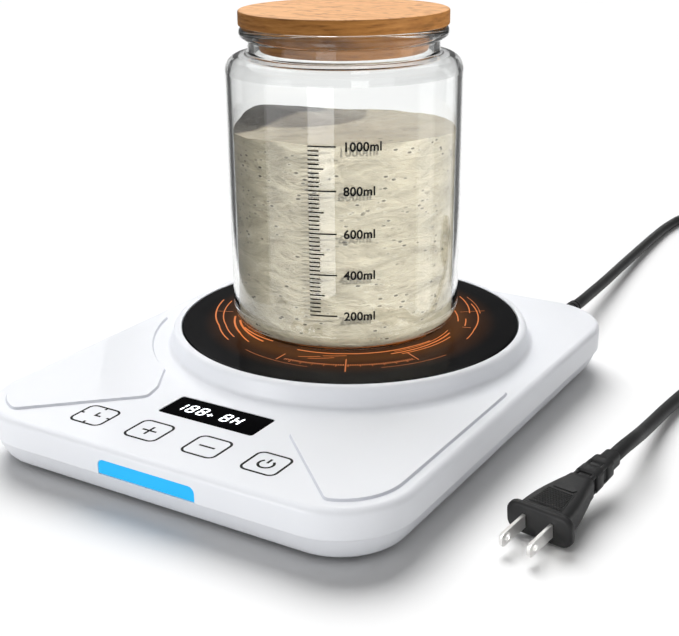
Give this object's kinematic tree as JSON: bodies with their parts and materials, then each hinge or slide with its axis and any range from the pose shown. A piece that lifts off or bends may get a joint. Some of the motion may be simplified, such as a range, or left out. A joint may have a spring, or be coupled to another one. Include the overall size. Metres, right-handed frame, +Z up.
{
  "type": "yogurt maker",
  "caption": "Flat white electric yogurt maker: a rounded rectangular heating base with a black glass plate, display and touch keys, with a glass jar, bamboo lid and mains cord.",
  "frame": {"origin": "middle of the base's outline, on the surface the rubber feet stand on", "axes": "+Z up, +Y from the control panel towards the back, +X to the right seen from the control panel"},
  "size_m": [0.3403, 0.5994, 0.1945],
  "materials": {
    "white_casing": "satin moulded plastic",
    "plate_glass": "polished black printed glass",
    "clear_glass": "clear soda-lime glass",
    "bamboo": "oiled bamboo",
    "silicone": "translucent silicone",
    "foot_rubber": "matte rubber",
    "aluminium_sheet": "milled",
    "steel": "zinc plated",
    "nickelled_brass": "nickel plated",
    "heater_film": "amber film",
    "felt": "needled ceramic fibre",
    "circuit_board": "solder mask",
    "component_black": "moulded epoxy",
    "coil_tape": "polyester tape",
    "terminal_green": "moulded nylon",
    "window": "smoked acrylic",
    "light_lens": "lit blue diffuser",
    "led": "clear epoxy",
    "cord_jacket": "black flexible PVC",
    "plug_plastic": "black moulded PVC",
    "red_wire": "silicone insulated wire",
    "white_wire": "insulated wire"
  },
  "bodies": {
    "base": {"bottom_cover": "white_casing", "bracket_screw_1": "steel", "bracket_screw_2": "steel", "bracket_screw_3": "steel", "buzzer": "component_black", "case_screw_1": "steel", "case_screw_2": "steel", "case_screw_3": "steel", "case_screw_4": "steel", "clamp_screw_1": "steel", "clamp_screw_2": "steel", "control_board": "circuit_board", "control_chip": "component_black", "cord_clamp": "white_casing", "cord_coil": "cord_jacket", "cord_run_front": "cord_jacket", "cord_run_rear": "cord_jacket", "cord_tail": "cord_jacket", "cord_tie": "foot_rubber", "display_module": "component_black", "display_window": "window", "foot_1": "foot_rubber", "foot_2": "foot_rubber", "foot_3": "foot_rubber", "foot_4": "foot_rubber", "glass_plate": "plate_glass", "heat_spreader": "aluminium_sheet", "heater_bracket": "steel", "heater_lead_1": "red_wire", "heater_lead_2": "red_wire", "heating_film": "heater_film", "insulation_pad": "felt", "light_bar": "light_lens", "light_board": "circuit_board", "light_led_1": "led", "light_led_2": "led", "live_lead": "cord_jacket", "neutral_lead": "white_wire", "plate_seal": "silicone", "plug_blade_1": "nickelled_brass", "plug_blade_2": "nickelled_brass", "plug_body": "plug_plastic", "power_board": "circuit_board", "relay": "component_black", "sensor_lead": "white_wire", "smoothing_capacitor": "component_black", "strain_relief": "plug_plastic", "temperature_sensor": "aluminium_sheet", "terminal_block": "terminal_green", "thermal_fuse": "nickelled_brass", "top_cover": "white_casing", "touch_spring_1": "steel", "touch_spring_2": "steel", "touch_spring_3": "steel", "touch_spring_4": "steel", "transformer": "coil_tape"},
    "jar": {"jar_glass": "clear_glass"},
    "lid": {"lid_disc": "bamboo", "lid_insert": "bamboo", "lid_gasket": "silicone"}
  },
  "joints": [
    {"name": "jar_lift", "type": "slide", "parent": "base", "child": "jar", "axis": [0, 0, 1], "range_m": [0, 0.25]},
    {"name": "lid_lift", "type": "slide", "parent": "jar", "child": "lid", "axis": [0, 0, 1], "range_m": [0, 0.2]}
  ]
}
